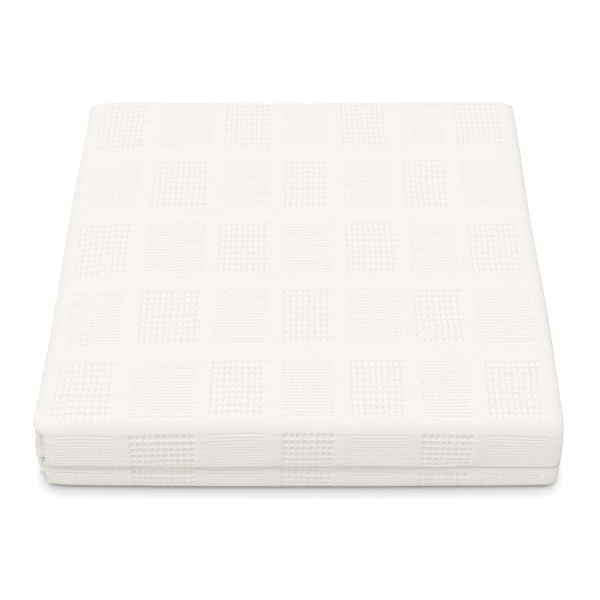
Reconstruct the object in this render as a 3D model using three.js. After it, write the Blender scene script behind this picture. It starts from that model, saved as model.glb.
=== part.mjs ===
// A white cotton bedspread, folded into a square pad.
// The cloth is one hemmed panel. Its sides are folded in and then together, which makes a strip of
// four layers, and the strip runs back and forth in six passes that lie on each other.
// Millimetres, +Z up. The front folds face -Y, and the origin is under the middle of the pad.
import * as THREE from "three";

// Driving sizes
const FOLDED_WIDTH = 382; // left folds to right folds
const FOLDED_DEPTH = 388; // front folds to back folds
const STACK_HEIGHT = 75; // underside to the top face, before the edges sag
const CLOTH_THICKNESS = 2.2; // waffle cloth, over its ridges
const STRIP_LAYERS = 4; // layers across the thickness of the strip
const SIDE_HEM_INSET = 14; // the side hems stop this far short of the right folds
const CORNER_RADIUS = 7; // upright corners of the pad, seen from above
const LEFT_SQUARENESS = 2; // power of the left folds' rounded outline, here a half circle
const RIGHT_SQUARENESS = 4; // power of the right folds' outline, which is squarer
const FRONT_BOW = 2; // the middle of the front stands proud of its ends by this much

// Steps in the mesh
const RUN_STEPS = 4; // along a straight pass
const LEFT_FOLD_STEPS = 4;
const RIGHT_FOLD_STEPS = 6;

// The strip's layers, counted from its inner face. The side hems end the two in the middle.
const LAYERS = { innerFace: 0, innerHem: 1, outerHem: 2, outerFace: 3 };

// Where the layers of the strip have a line of points, as shares of half the width.
const LAYER_STATIONS = [-0.9, -0.78, 0, 0.88];

// The strip's passes, in the order in which the cloth runs through them.
// level: place in the stack, counted from the top. heading: -1 runs to the front, 1 to the back.
const PASSES = [
  { name: "tucked end", level: 2, heading: -1 },
  { name: "second pass", level: 1, heading: 1 },
  { name: "top", level: 0, heading: -1 },
  { name: "fourth pass", level: 3, heading: 1 },
  { name: "fifth pass", level: 4, heading: -1 },
  { name: "bottom", level: 5, heading: 1 },
];

// The turns between those passes.
// short: how far the turn stays inside the folded depth. depth: from the straight pass to there.
// squareness: power of its rounded outline. left and right: how far the side folds stay in there.
// draw: how much further the two outer layers' left fold is drawn in, half way round.
const TURNS = [
  { name: "inner front", short: 14.6, depth: 13.5, squareness: 2.2, steps: 5, left: 0, right: 3, draw: 0 },
  { name: "upper back", short: 0, depth: 16, squareness: 2.8, steps: 6, left: 1, right: 0, draw: 0 },
  { name: "upper front", short: 2, depth: 18, squareness: 3, steps: 10, left: 0, right: 1.5, draw: 8 },
  { name: "lower back", short: 4, depth: 16, squareness: 2.3, steps: 5, left: 1, right: 2, draw: 0 },
  { name: "lower front", short: 3, depth: 15, squareness: 2.6, steps: 7, left: 0, right: 0, draw: 5 },
];

// The strip's two ends, both at the back.
const TUCKED_END = { short: 10, left: 1, right: 2 };
const BOTTOM_END = { short: 6, left: 3, right: 1 };

// How far the top sags along each side, and how far in from that side the sag begins.
const EDGE_SAGS = [
  { side: "left", drop: 4.5, span: 44 },
  { side: "right", drop: 2, span: 28 },
  { side: "front", drop: 1, span: 22 },
  { side: "back", drop: 1.5, span: 30 },
];

// Long, low waves that leave the top uneven. turn: heading of the wave, in degrees from +X.
const TOP_WAVES = [
  { height: 0.7, length: 330, turn: 20, phase: 0.4 },
  { height: 0.5, length: 210, turn: 105, phase: 2.1 },
];

// Waves of the side folds, which are never quite in line, and of the creases between the passes.
const SIDE_WAVE = { height: 0.5, length: 230, rise: 46 };
const CREASE_WAVE = { height: 0.9, length: 290, phase: 0.8 };

const LAYER_COUNT = STRIP_LAYERS * PASSES.length;
const LAYER_PITCH = (STACK_HEIGHT - CLOTH_THICKNESS) / (LAYER_COUNT - 1);
const LAYER_GAP = LAYER_PITCH - CLOTH_THICKNESS;
const STRIP_THICKNESS = STRIP_LAYERS * LAYER_PITCH;
const HALF_WIDTH = FOLDED_WIDTH / 2;
const HALF_DEPTH = FOLDED_DEPTH / 2;

const { clamp, lerp, degToRad } = THREE.MathUtils;

// A straight stretch of one layer, with a point at each place and the cloth's normal there.
function layerRun(places, layer) {
  const heading = Math.sign(places.at(-1) - places[0]);
  const height = (layer + 0.5) * LAYER_PITCH;
  return places.map((across) => ({ across, height, normal: [0, heading] }));
}

// A number raised to a power, with its sign kept.
const signedPower = (value, power) => Math.sign(value) * Math.abs(value) ** power;

// The unit point of a rounded outline at an angle: a circle at squareness 2, squarer above that.
function roundedPoint(angle, squareness) {
  const power = 2 / squareness;
  return [signedPower(Math.cos(angle), power), signedPower(Math.sin(angle), power)];
}

// A side fold about a centre, without its two ends, which belong to the layers that it joins.
function sideFold({ across, height, radius, squareness, startAngle, steps }) {
  const points = [];
  for (let step = 1; step < steps; step += 1) {
    const [out, rise] = roundedPoint(startAngle - (Math.PI * step) / steps, squareness);
    const slope = [signedPower(out, squareness - 1), signedPower(rise, squareness - 1)];
    const normal = slope.map((part) => part / Math.hypot(...slope));
    points.push({ across: across + radius * out, height: height + radius * rise, normal });
  }
  return points;
}

// The strip's closed section: across is its width, and height runs from its inner to its outer face.
// The cloth comes from one side hem, round a left fold, the right fold and the other left fold,
// to the other side hem, which lies beside the first.
function stripSection() {
  const leftRadius = LAYER_PITCH / 2;
  const rightRadius = ((STRIP_LAYERS - 1) * LAYER_PITCH) / 2;
  const leftCentre = leftRadius + CLOTH_THICKNESS / 2 - HALF_WIDTH;
  const rightCentre = HALF_WIDTH - rightRadius - CLOTH_THICKNESS / 2;
  const places = LAYER_STATIONS.map((share) => share * HALF_WIDTH);
  const toHem = [leftCentre, ...places, HALF_WIDTH - SIDE_HEM_INSET];
  const toFold = [leftCentre, ...places, rightCentre];
  const leftFold = (lowerLayer) =>
    sideFold({
      across: leftCentre,
      height: (lowerLayer + 1) * LAYER_PITCH,
      radius: leftRadius,
      squareness: LEFT_SQUARENESS,
      startAngle: -Math.PI / 2,
      steps: LEFT_FOLD_STEPS,
    });
  const rightFold = sideFold({
    across: rightCentre,
    height: STRIP_THICKNESS / 2,
    radius: rightRadius,
    squareness: RIGHT_SQUARENESS,
    startAngle: Math.PI / 2,
    steps: RIGHT_FOLD_STEPS,
  });
  const middle = [
    ...layerRun(toHem.toReversed(), LAYERS.outerHem),
    ...leftFold(LAYERS.outerHem),
    ...layerRun(toFold, LAYERS.outerFace),
    ...rightFold,
    ...layerRun(toFold.toReversed(), LAYERS.innerFace),
    ...leftFold(LAYERS.innerFace),
    ...layerRun(toHem, LAYERS.innerHem),
  ];
  const face = (side) =>
    middle.map(({ across, height, normal }) => ({
      across: across + (side * normal[0] * CLOTH_THICKNESS) / 2,
      height: height + (side * normal[1] * CLOTH_THICKNESS) / 2,
    }));
  return [...face(1), ...face(-1).reverse()];
}

// The heights of a pass's inner and outer face. The outer face is up on a pass that runs to the front.
function passFaces({ level, heading }) {
  const top = (PASSES.length - level) * STRIP_THICKNESS - LAYER_GAP / 2;
  const bottom = top - STRIP_THICKNESS;
  return heading < 0 ? { inner: bottom, outer: top } : { inner: top, outer: bottom };
}

// Where a turn begins, measured from the middle of the pad.
const turnStart = ({ short, depth }) => HALF_DEPTH - short - depth;

// The stations of a straight pass, from one end to the other.
function passStations(pass, from, to) {
  const faces = passFaces(pass);
  const stations = [];
  for (let step = 0; step <= RUN_STEPS; step += 1) {
    const share = step / RUN_STEPS;
    const along = lerp(from.along, to.along, share);
    stations.push({
      inner: [along, faces.inner],
      outer: [along, faces.outer],
      left: lerp(from.left, to.left, share),
      right: lerp(from.right, to.right, share),
      draw: 0,
    });
  }
  return stations;
}

// The stations of a turn, without its two ends. Both faces of the strip follow a rounded outline of
// their own, and the face on the inside of the turn reaches less far by the strip's thickness.
function turnStations(turn, before, after) {
  const from = passFaces(before);
  const to = passFaces(after);
  const outerLeads = Math.abs(from.outer - to.outer) > Math.abs(from.inner - to.inner);
  const insideDepth = Math.max(turn.depth - STRIP_THICKNESS, 0);
  const stations = [];
  for (let step = 1; step < turn.steps; step += 1) {
    const angle = Math.PI * (0.5 - step / turn.steps);
    const [out, rise] = roundedPoint(angle, turn.squareness);
    const place = (face, depth) => [
      before.heading * (turnStart(turn) + depth * out),
      lerp(to[face], from[face], (1 + rise) / 2),
    ];
    stations.push({
      inner: place("inner", outerLeads ? insideDepth : turn.depth),
      outer: place("outer", outerLeads ? turn.depth : insideDepth),
      left: turn.left,
      right: turn.right,
      draw: turn.draw * Math.cos(angle),
    });
  }
  return stations;
}

// The strip's whole route, from its tucked end to its end under the stack.
function stripRoute() {
  const stations = [];
  PASSES.forEach((pass, index) => {
    const arriving = TURNS[index - 1];
    const leaving = TURNS[index];
    const from = arriving
      ? { ...arriving, along: -pass.heading * turnStart(arriving) }
      : { ...TUCKED_END, along: HALF_DEPTH - TUCKED_END.short };
    const to = leaving
      ? { ...leaving, along: pass.heading * turnStart(leaving) }
      : { ...BOTTOM_END, along: HALF_DEPTH - BOTTOM_END.short };
    stations.push(...passStations(pass, from, to));
    if (leaving) stations.push(...turnStations(leaving, pass, PASSES[index + 1]));
  });
  return stations;
}

// How far the top lies below a flat one at a place on the pad.
function topSag(x, y) {
  const distance = {
    left: HALF_WIDTH + x,
    right: HALF_WIDTH - x,
    front: HALF_DEPTH + y,
    back: HALF_DEPTH - y,
  };
  let sag = 0;
  for (const { side, drop, span } of EDGE_SAGS) {
    sag += drop * clamp(1 - distance[side] / span, 0, 1) ** 2;
  }
  for (const { height, length, turn, phase } of TOP_WAVES) {
    const along = x * Math.cos(degToRad(turn)) + y * Math.sin(degToRad(turn));
    sag += height * Math.sin((2 * Math.PI * along) / length + phase);
  }
  return sag;
}

// Rounds the pad's upright corners: the square at each corner is drawn in to a quarter of a disc.
function roundCorner(x, y) {
  const inX = clamp((Math.abs(x) - HALF_WIDTH) / CORNER_RADIUS + 1, 0, 1);
  const inY = clamp((Math.abs(y) - HALF_DEPTH) / CORNER_RADIUS + 1, 0, 1);
  const drawX = inX * (1 - Math.sqrt(1 - inY ** 2 / 2));
  const drawY = inY * (1 - Math.sqrt(1 - inX ** 2 / 2));
  return [x - Math.sign(x) * drawX * CORNER_RADIUS, y - Math.sign(y) * drawY * CORNER_RADIUS];
}

// Lets a point of the neatly folded cloth settle to where it lies in the soft, uneven pad.
// Heights are scaled, so the underside stays flat and the layers stay apart.
function settle(x, y, z) {
  const share = z / STACK_HEIGHT;
  const swing = Math.sin(2 * Math.PI * (y / SIDE_WAVE.length + z / SIDE_WAVE.rise));
  const shifted = x + SIDE_WAVE.height * swing * (x / HALF_WIDTH) ** 2;
  const bow = FRONT_BOW * (1 - (x / HALF_WIDTH) ** 2) * clamp(-y / HALF_DEPTH, 0, 1) ** 2;
  const [placeX, placeY] = roundCorner(shifted, y - bow);
  const crease = Math.sin((2 * Math.PI * x) / CREASE_WAVE.length + CREASE_WAVE.phase);
  const lift = CREASE_WAVE.height * crease * 4 * share * (1 - share);
  return [placeX, placeY, z - topSag(x, y) * share + lift];
}

// One point of the cloth, from a point of the section and a station of the route.
function clothPoint({ across, height }, { inner, outer, left, right, draw }) {
  const share = height / STRIP_THICKNESS;
  const inOuterPair = height > LAYERS.outerHem * LAYER_PITCH;
  const leftInset = inOuterPair ? left + draw : left;
  const inset = across < 0 ? leftInset : -right;
  const x = across + inset * (across / HALF_WIDTH) ** 2;
  return settle(x, lerp(inner[0], outer[0], share), lerp(inner[1], outer[1], share));
}

// The closed surface of the section carried along the route, with an end face at both ends.
function sweptCloth(section, route) {
  const ring = section.length;
  const positions = route.flatMap((station) => section.flatMap((point) => clothPoint(point, station)));
  const indices = [];
  const quad = (a, b, c, d) => indices.push(a, b, c, a, c, d);
  for (let row = 0; row < route.length - 1; row += 1) {
    for (let column = 0; column < ring; column += 1) {
      const next = (column + 1) % ring;
      const low = row * ring;
      const high = low + ring;
      quad(low + column, high + column, high + next, low + next);
    }
  }
  const last = (route.length - 1) * ring;
  for (let column = 0; column < ring / 2 - 1; column += 1) {
    const mate = ring - 1 - column;
    quad(column, column + 1, mate - 1, mate);
    quad(last + column, last + mate, last + mate - 1, last + column + 1);
  }
  const geometry = new THREE.BufferGeometry();
  geometry.setAttribute("position", new THREE.Float32BufferAttribute(positions, 3));
  geometry.setIndex(indices);
  return geometry;
}

// Moves a geometry so that the middle of its box's underside is at the origin.
function standOnOrigin(geometry) {
  geometry.computeBoundingBox();
  const { min, max } = geometry.boundingBox;
  geometry.translate(-(min.x + max.x) / 2, -(min.y + max.y) / 2, -min.z);
  geometry.computeVertexNormals();
  return geometry;
}

const clothMaterial = new THREE.MeshStandardMaterial({
  name: "white cotton",
  color: 0xf2eee8,
  roughness: 0.9,
  metalness: 0,
});

const bedspread = new THREE.Mesh(
  standOnOrigin(sweptCloth(stripSection(), stripRoute())),
  clothMaterial,
);
bedspread.name = "bedspread";

const pad = new THREE.Group();
pad.add(bedspread);

export default pad;
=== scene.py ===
"""A folded white cotton bedspread with woven blocks, lying on a plain floor under soft studio light."""

import logging
import math
from collections.abc import Sequence
from dataclasses import astuple, dataclass, field
from enum import IntEnum
from typing import Any

import bpy
import numpy as np
from mathutils import Euler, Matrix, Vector


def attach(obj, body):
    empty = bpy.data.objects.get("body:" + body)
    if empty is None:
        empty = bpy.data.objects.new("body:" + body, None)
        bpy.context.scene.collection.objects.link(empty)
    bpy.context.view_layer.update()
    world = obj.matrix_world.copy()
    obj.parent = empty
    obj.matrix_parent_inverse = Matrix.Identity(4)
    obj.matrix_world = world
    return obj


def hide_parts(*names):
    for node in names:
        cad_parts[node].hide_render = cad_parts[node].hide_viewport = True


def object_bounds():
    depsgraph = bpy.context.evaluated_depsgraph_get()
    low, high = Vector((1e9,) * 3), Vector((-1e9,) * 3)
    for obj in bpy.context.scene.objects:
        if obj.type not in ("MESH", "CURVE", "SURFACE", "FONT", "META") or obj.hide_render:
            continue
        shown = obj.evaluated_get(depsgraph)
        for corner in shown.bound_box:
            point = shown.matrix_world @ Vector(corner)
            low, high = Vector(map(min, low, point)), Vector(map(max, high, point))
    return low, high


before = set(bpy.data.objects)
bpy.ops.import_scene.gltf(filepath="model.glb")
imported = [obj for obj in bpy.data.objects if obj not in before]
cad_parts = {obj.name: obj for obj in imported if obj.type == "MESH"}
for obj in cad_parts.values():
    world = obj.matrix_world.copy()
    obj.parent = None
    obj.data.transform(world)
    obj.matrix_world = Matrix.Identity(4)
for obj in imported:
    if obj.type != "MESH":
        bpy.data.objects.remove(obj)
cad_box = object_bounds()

log = logging.getLogger("bedspread")

MILLIMETRE = 0.001  # the cloth is worked out in millimetres and the scene is in metres
LINES_PER_CELL = 4  # mesh lines across one cell of the waffle weave


class Weave(IntEnum):
    """How a block of the cloth is woven, by the sum of its column's and row's numbers, even or odd."""

    WAFFLE = 0
    DOTTED = 1


class Density(IntEnum):
    """How close the mesh lines lie in a zone of the cloth, the sparsest first."""

    HIDDEN = 0
    CELL = 1
    HALF_CELL = 2
    FINE = 3


class Zone(IntEnum):
    """The zones of the cloth across its width, from one side hem to the other."""

    OUTER_HEM = 0
    OUTER_LEFT_FOLD = 1
    OUTER_FACE = 2
    RIGHT_FOLD = 3
    INNER_FACE = 4
    INNER_LEFT_FOLD = 5
    INNER_HEM = 6


@dataclass(frozen=True)
class Pass:
    """A straight pass of the strip. level counts from the top, and heading is -1 towards the front."""

    name: str
    level: int
    heading: int


@dataclass(frozen=True)
class EdgePoint:
    """A point of the form of a turn's left end.

    share is its place between the lower pass and the upper one. draw is how far the fold of the two
    outer layers is drawn in there, and tuck how far the layer behind them lies back.
    """

    share: float
    draw: float
    tuck: float


@dataclass(frozen=True)
class Turn:
    """A turn of the strip between two passes.

    short is how far it stays inside the folded depth, and depth is its own reach. squareness is the
    power of its rounded outline, and foot_squareness that of its lower half. left and right are how
    far the side folds stay in. left_edge is the form of its left end, from the bottom up.
    """

    name: str
    short: float
    depth: float
    squareness: float
    foot_squareness: float
    left: float
    right: float
    left_edge: tuple[EdgePoint, ...] = (EdgePoint(0.0, 0.0, 0.0), EdgePoint(1.0, 0.0, 0.0))


@dataclass(frozen=True)
class StripEnd:
    """A hemmed end of the strip, which stays short of the folded depth."""

    short: float
    left: float
    right: float


@dataclass(frozen=True)
class EdgeSag:
    """How far the top drops along one side, and how far in from that side the drop begins."""

    drop: float
    span: float


@dataclass(frozen=True)
class TopWave:
    """A long, low wave of the top. turn is its heading in degrees from +X."""

    height: float
    length: float
    turn: float
    phase: float


@dataclass(frozen=True)
class SideWave:
    """A wave of the side folds, with its length along the pad and its length up the stack."""

    height: float
    length: float
    rise: float


@dataclass(frozen=True)
class CreaseWave:
    """A wave across the pad of the creases between the passes."""

    height: float
    length: float
    phase: float


@dataclass(frozen=True)
class Skew:
    """How far the columns of blocks lie to the right at a place, and how much further at the left edge.

    The place is some way beyond a named one on the strip's route.
    """

    anchor: str
    beyond: float
    shift: float
    left_extra: float


@dataclass(frozen=True)
class Tilt:
    """How far the right end of a row of blocks lies ahead at a place, and its left end behind.

    The place is some way beyond a named one on the strip's route.
    """

    anchor: str
    beyond: float
    shift: float


@dataclass(frozen=True)
class Route:
    """The strip's route: stations at many lengths along the cloth, and the lengths of named places.

    A station holds y and z of the inner face, y and z of the outer face, left, right, draw and tuck.
    """

    length: np.ndarray
    stations: np.ndarray
    anchors: dict[str, float]

    def at(self, length: np.ndarray) -> list[np.ndarray]:
        """The eight values of the stations at these lengths."""
        return [np.interp(length, self.length, values) for values in self.stations.T]

    def lengths(self, places: Sequence[Skew | Tilt]) -> list[float]:
        """The lengths at which these places lie."""
        return [self.anchors[place.anchor] + place.beyond for place in places]


def rounded_point(angle: np.ndarray, squareness: float) -> tuple[np.ndarray, np.ndarray]:
    """The unit points of a rounded outline, a circle at squareness 2 and squarer above that.

    Args:
        angle: Angles round the outline, in radians.
        squareness: Power of the outline.

    Returns:
        How far out and how far up each point lies.
    """
    power = 2 / squareness
    out, rise = np.cos(angle), np.sin(angle)
    return np.sign(out) * np.abs(out) ** power, np.sign(rise) * np.abs(rise) ** power


def lerp(low: Any, high: Any, share: Any) -> Any:
    """The value at a share of the way from low to high."""
    return low + (high - low) * share


@dataclass(frozen=True)
class FoldedStrip:
    """The cloth as it is folded: in four across, and back and forth in six passes. Millimetres."""

    width: float = 382.0  # left folds to right folds
    depth: float = 388.0  # front folds to back folds
    height: float = 75.0  # underside to the top, before its edges sag
    thickness: float = 2.2  # of the cloth, over its ridges
    layers: int = 4  # across the thickness of the strip
    hem_inset: float = 14.0  # the side hems stop this far short of the right folds
    corner_radius: float = 7.0  # upright corners of the pad, seen from above
    left_squareness: float = 2.0  # power of the left folds' rounded outline
    right_squareness: float = 4.0  # power of the right fold's outline, which is squarer
    front_bow: float = 2.0  # the middle of the front stands proud of its ends by this much
    draw_power: float = 40.0  # how closely the draw of a turn's left end keeps to its edge
    edge_curl: float = 0.25  # share of the draw by which the drawn layers curl in
    tuck_place: float = -182.8  # across the strip, where a tuck is deepest
    tuck_reach: float = 3.5  # over which a tuck fades
    crease_height: float = 25.3  # of the crease between the two front folds
    crease_drop: float = 1.8  # how far that crease lies below its own pass
    crease_power: int = 4  # how closely the drop keeps to the crease
    side_wave: SideWave = SideWave(height=0.5, length=230, rise=46)
    crease_wave: CreaseWave = CreaseWave(height=0.9, length=290, phase=0.8)
    tucked_end: StripEnd = StripEnd(short=10, left=1, right=2)
    bottom_end: StripEnd = StripEnd(short=6, left=3, right=1)
    left_sag: EdgeSag = EdgeSag(drop=4.5, span=44)
    right_sag: EdgeSag = EdgeSag(drop=2, span=28)
    front_sag: EdgeSag = EdgeSag(drop=1, span=22)
    back_sag: EdgeSag = EdgeSag(drop=1.5, span=30)
    waves: tuple[TopWave, ...] = (
        TopWave(height=0.7, length=330, turn=20, phase=0.4),
        TopWave(height=0.5, length=210, turn=105, phase=2.1),
    )
    passes: tuple[Pass, ...] = (
        Pass("tucked end", level=2, heading=-1),
        Pass("second pass", level=1, heading=1),
        Pass("top", level=0, heading=-1),
        Pass("fourth pass", level=3, heading=1),
        Pass("fifth pass", level=4, heading=-1),
        Pass("bottom", level=5, heading=1),
    )
    turns: tuple[Turn, ...] = (
        Turn(
            "inner front", short=14.6, depth=13.5, squareness=2.2, foot_squareness=2.2, left=0, right=3
        ),
        Turn("upper back", short=0, depth=16, squareness=2.8, foot_squareness=2.8, left=1, right=0),
        Turn(
            "upper front",
            short=2,
            depth=18.5,
            squareness=2.8,
            foot_squareness=4.2,
            left=0,
            right=1.5,
            left_edge=(
                EdgePoint(0.00, 0.0, 0.0),
                EdgePoint(0.02, 2.0, 0.0),
                EdgePoint(0.05, 4.8, 0.0),
                EdgePoint(0.14, 3.7, 0.5),
                EdgePoint(0.26, 6.0, 1.0),
                EdgePoint(0.42, 5.0, 1.0),
                EdgePoint(0.56, 5.2, 1.0),
                EdgePoint(0.67, 6.4, 1.2),
                EdgePoint(0.75, 7.8, 2.5),
                EdgePoint(0.80, 8.2, 6.5),
                EdgePoint(0.84, 6.2, 5.0),
                EdgePoint(0.88, 3.0, 1.0),
                EdgePoint(0.92, 1.0, 0.0),
                EdgePoint(0.96, 0.2, 0.0),
                EdgePoint(1.00, 0.0, 0.0),
            ),
        ),
        Turn("lower back", short=4, depth=16, squareness=2.3, foot_squareness=2.3, left=1, right=2),
        Turn(
            "lower front",
            short=3,
            depth=15,
            squareness=3.4,
            foot_squareness=2.8,
            left=0,
            right=0,
            left_edge=(
                EdgePoint(0.00, 0.0, 0.0),
                EdgePoint(0.05, 4.0, 0.0),
                EdgePoint(0.19, 3.0, 0.3),
                EdgePoint(0.48, 6.0, 0.7),
                EdgePoint(0.72, 5.6, 0.6),
                EdgePoint(0.91, 4.6, 0.3),
                EdgePoint(0.98, 1.2, 0.0),
                EdgePoint(1.00, 0.0, 0.0),
            ),
        ),
    )
    samples: int = 240  # stations of a pass, and half those of a turn
    fold_samples: int = 960  # steps in which a side fold's outside is measured

    @property
    def pitch(self) -> float:
        """The height of one layer with its gap."""
        return (self.height - self.thickness) / (self.layers * len(self.passes) - 1)

    @property
    def strip_thickness(self) -> float:
        """The height of one pass."""
        return self.layers * self.pitch

    @property
    def half_width(self) -> float:
        """Half the folded width."""
        return self.width / 2

    @property
    def half_depth(self) -> float:
        """Half the folded depth."""
        return self.depth / 2

    @property
    def left_centre(self) -> float:
        """Where the left folds have their centre."""
        return (self.pitch + self.thickness) / 2 - self.half_width

    @property
    def right_centre(self) -> float:
        """Where the right fold has its centre."""
        return self.half_width - self.right_radius - self.thickness / 2

    @property
    def right_radius(self) -> float:
        """The radius of the right fold, in the middle of the cloth."""
        return (self.layers - 1) * self.pitch / 2

    def turn_start(self, turn: Turn) -> float:
        """Where a turn begins, measured from the middle of the pad."""
        return self.half_depth - turn.short - turn.depth

    def pass_faces(self, run: Pass) -> tuple[float, float]:
        """The heights of a pass's inner and outer face.

        Args:
            run: The pass.

        Returns:
            The inner face's height and the outer face's.
        """
        gap = self.pitch - self.thickness
        top = (len(self.passes) - run.level) * self.strip_thickness - gap / 2
        bottom = top - self.strip_thickness
        return (bottom, top) if run.heading < 0 else (top, bottom)

    def pass_stations(self, run: Pass, start: StripEnd | Turn, end: StripEnd | Turn) -> np.ndarray:
        """The stations of a straight pass, from its start to its end.

        Args:
            run: The pass.
            start: The turn or strip end that it comes from.
            end: The turn or strip end that it goes to.

        Returns:
            One station a row.
        """
        reach = [
            self.turn_start(place) if isinstance(place, Turn) else self.half_depth - place.short
            for place in (start, end)
        ]
        first = -run.heading * reach[0] if isinstance(start, Turn) else reach[0]
        share = np.linspace(0, 1, self.samples)
        along = lerp(first, run.heading * reach[1], share)
        inner, outer = self.pass_faces(run)
        flat = np.ones_like(share)
        left = lerp(start.left, end.left, share)
        right = lerp(start.right, end.right, share)
        columns = [along, inner * flat, along, outer * flat, left, right, 0 * flat, 0 * flat]
        return np.stack(columns, axis=1)

    def turn_stations(self, turn: Turn, before: Pass, after: Pass) -> np.ndarray:
        """The stations of a turn, without its ends.

        Args:
            turn: The turn.
            before: The pass that runs into it.
            after: The pass that runs out of it.

        Returns:
            One station a row.
        """
        from_faces, to_faces = self.pass_faces(before), self.pass_faces(after)
        spans = [abs(a - b) for a, b in zip(from_faces, to_faces)]
        inside = max(turn.depth - self.strip_thickness, 0)
        depths = (inside, turn.depth) if spans[1] > spans[0] else (turn.depth, inside)
        angle = math.pi * (0.5 - np.linspace(0, 1, 2 * self.samples + 1)[1:-1])
        out, rise = np.where(
            angle > 0, rounded_point(angle, turn.squareness), rounded_point(angle, turn.foot_squareness)
        )
        columns = []
        for face in range(2):
            columns.append(before.heading * (self.turn_start(turn) + depths[face] * out))
            columns.append(lerp(to_faces[face], from_faces[face], (1 + rise) / 2))
        flat = np.ones_like(angle)
        shares, draws, tucks = np.array([astuple(point) for point in turn.left_edge]).T
        share = (1 + rise) / 2
        columns += [turn.left * flat, turn.right * flat]
        columns += [np.interp(share, shares, draws), np.interp(share, shares, tucks)]
        return np.stack(columns, axis=1)

    def route(self) -> Route:
        """The whole route, from the tucked end to the end under the stack.

        Returns:
            The route.
        """
        parts, middles = [], {}
        count = 0
        for index, run in enumerate(self.passes):
            start = self.turns[index - 1] if index else self.tucked_end
            end = self.turns[index] if index < len(self.turns) else self.bottom_end
            parts.append(self.pass_stations(run, start, end))
            middles[run.name] = count + int(np.abs(parts[-1][:, 0]).argmin())
            count += len(parts[-1])
            if isinstance(end, Turn):
                parts.append(self.turn_stations(end, run, self.passes[index + 1]))
                middles[end.name] = count + len(parts[-1]) // 2
                count += len(parts[-1])
        stations = np.concatenate(parts)
        steps = np.diff(stations, axis=0)
        inner_step = np.hypot(steps[:, 0], steps[:, 1])
        outer_step = np.hypot(steps[:, 2], steps[:, 3])
        length = np.concatenate([[0], np.cumsum(np.maximum(inner_step, outer_step))])
        anchors = {name: float(length[place]) for name, place in middles.items()}
        anchors["start"], anchors["end"] = 0.0, float(length[-1])
        return Route(length, stations, anchors)

    def top_sag(self, x: np.ndarray, y: np.ndarray) -> np.ndarray:
        """How far the top lies below a flat one.

        Args:
            x: Places across the pad.
            y: Places along the pad.

        Returns:
            The sag at each place.
        """
        sides = (
            (self.left_sag, self.half_width + x),
            (self.right_sag, self.half_width - x),
            (self.front_sag, self.half_depth + y),
            (self.back_sag, self.half_depth - y),
        )
        sag = sum(edge.drop * np.clip(1 - away / edge.span, 0, 1) ** 2 for edge, away in sides)
        for wave in self.waves:
            turn = math.radians(wave.turn)
            along = x * math.cos(turn) + y * math.sin(turn)
            sag = sag + wave.height * np.sin(2 * math.pi * along / wave.length + wave.phase)
        return sag

    def round_corner(self, x: np.ndarray, y: np.ndarray) -> tuple[np.ndarray, np.ndarray]:
        """Draws the squares at the pad's upright corners in to quarter discs.

        Args:
            x: Places across the pad.
            y: Places along the pad.

        Returns:
            The new places across and along.
        """
        in_x = np.clip((np.abs(x) - self.half_width) / self.corner_radius + 1, 0, 1)
        in_y = np.clip((np.abs(y) - self.half_depth) / self.corner_radius + 1, 0, 1)
        draw_x = in_x * (1 - np.sqrt(1 - in_y**2 / 2))
        draw_y = in_y * (1 - np.sqrt(1 - in_x**2 / 2))
        return (
            x - np.sign(x) * draw_x * self.corner_radius,
            y - np.sign(y) * draw_y * self.corner_radius,
        )

    def settle(self, x: np.ndarray, y: np.ndarray, z: np.ndarray) -> np.ndarray:
        """Lets points of the neatly folded cloth settle to where they lie in the uneven pad.

        Args:
            x: Places across the pad.
            y: Places along the pad.
            z: Heights.

        Returns:
            One settled point a row.
        """
        share = z / self.height
        side = self.side_wave
        swing = np.sin(2 * math.pi * (y / side.length + z / side.rise))
        shifted = x + side.height * swing * (x / self.half_width) ** 2
        ahead = np.clip(-y / self.half_depth, 0, 1) ** 2
        bow = self.front_bow * (1 - (x / self.half_width) ** 2) * ahead
        place_x, place_y = self.round_corner(shifted, y - bow)
        wave = self.crease_wave
        crease = np.sin(2 * math.pi * x / wave.length + wave.phase)
        lift = wave.height * crease * 4 * share * (1 - share)  # none under the stack or on it
        level = np.clip(z / self.crease_height, 0, None)
        drop = self.crease_drop * (level * np.exp(1 - level)) ** self.crease_power * ahead
        return np.stack([place_x, place_y, z - self.top_sag(x, y) * share + lift - drop], axis=1)

    def place(
        self, route: Route, across: np.ndarray, height: np.ndarray, length: np.ndarray
    ) -> np.ndarray:
        """Where points of the cloth lie.

        Args:
            route: The strip's route.
            across: Places across the strip's section.
            height: Heights in the section, from its inner face.
            length: Lengths along the route.

        Returns:
            One point a row.
        """
        inner_y, inner_z, outer_y, outer_z, left, right, draw, tuck = route.at(length)
        outward = np.abs(across / self.half_width)
        in_outer_half = height / self.pitch > self.layers / 2
        drawn = np.where(in_outer_half & (across < 0), draw, 0) * outward**self.draw_power
        near = np.exp(-(((across - self.tuck_place) / self.tuck_reach) ** 2))
        tucked = np.where(in_outer_half, 0, tuck) * near
        x = across + np.where(across < 0, left * outward**2 + drawn, -right * outward**2)
        share = (height - self.edge_curl * drawn - tucked) / self.strip_thickness
        return self.settle(x, lerp(inner_y, outer_y, share), lerp(inner_z, outer_z, share))


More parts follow.
